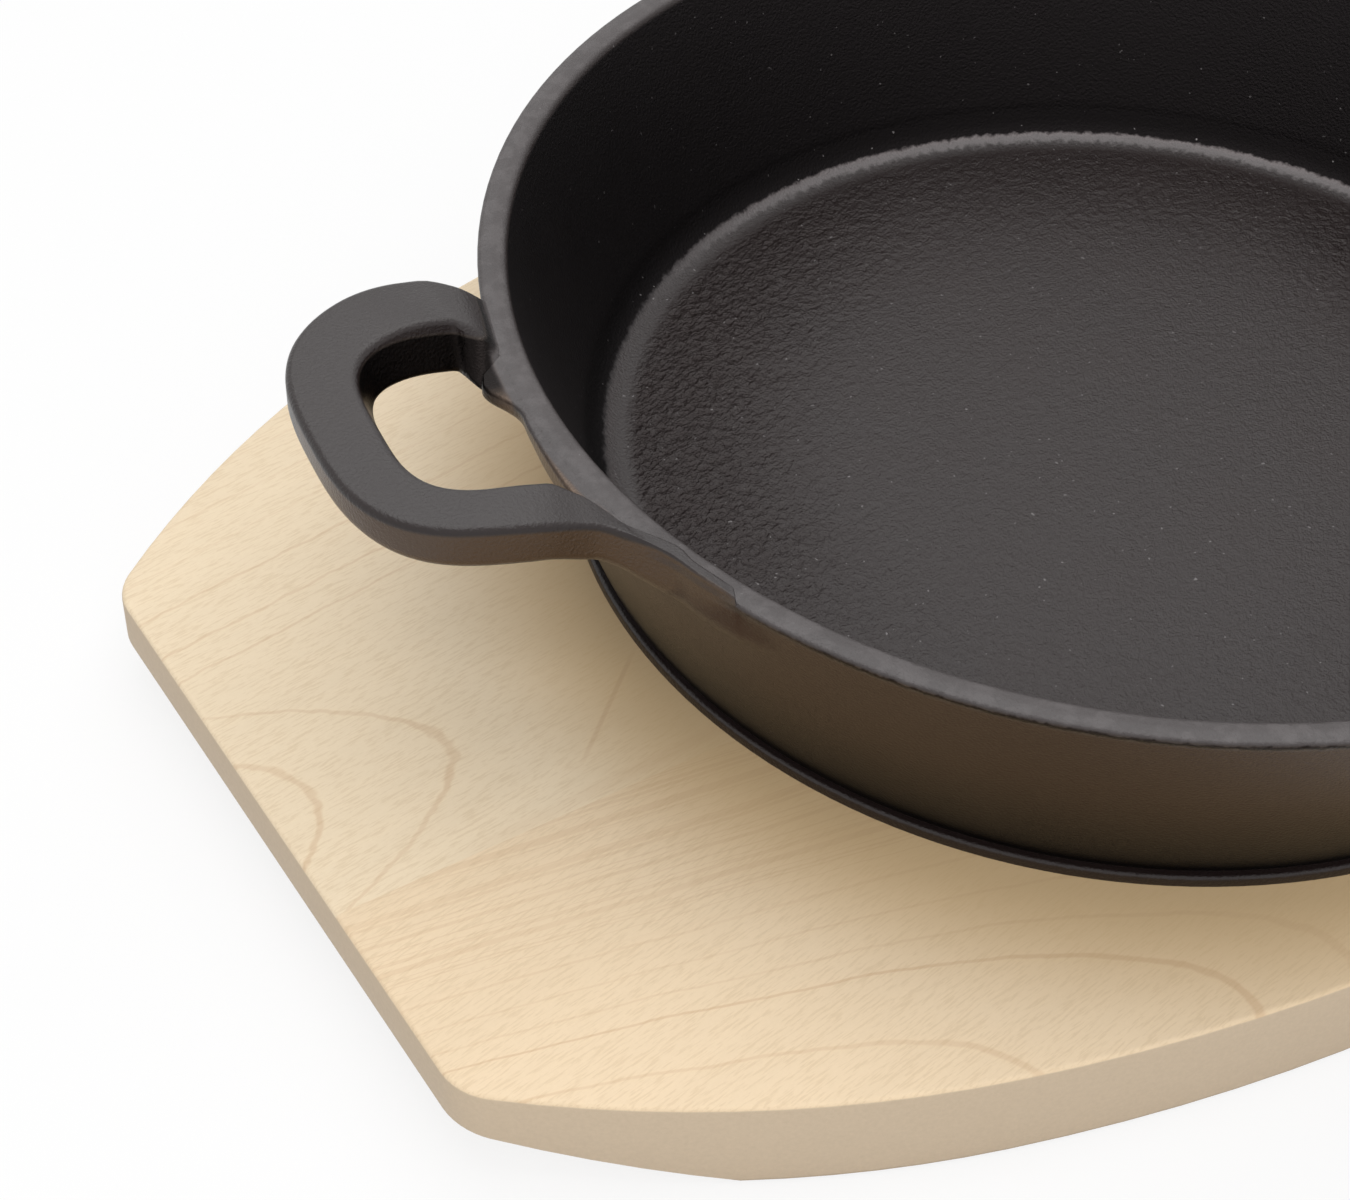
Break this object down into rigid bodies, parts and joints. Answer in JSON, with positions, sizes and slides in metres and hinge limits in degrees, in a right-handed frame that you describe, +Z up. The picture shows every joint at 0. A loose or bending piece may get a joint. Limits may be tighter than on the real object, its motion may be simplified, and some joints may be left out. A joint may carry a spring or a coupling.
{
  "type": "sizzle platter",
  "caption": "Round cast-iron pan with two loop handles, resting on a wooden board with rounded sides and finger bevels under its straight ends.",
  "frame": {"origin": "middle of the board's underside, under the pan's axis", "axes": "+X along the board, between its straight ends; +Z up, out of the pan"},
  "size_m": [0.295, 0.2, 0.0649],
  "materials": {
    "cast_iron": "black cast iron with a fine sand-cast texture, satin",
    "board_wood": "pale maple, sanded and unvarnished"
  },
  "bodies": {
    "root": {"pan": "cast_iron", "board_wide_stave": "board_wood", "board_narrow_stave": "board_wood"}
  },
  "joints": []
}
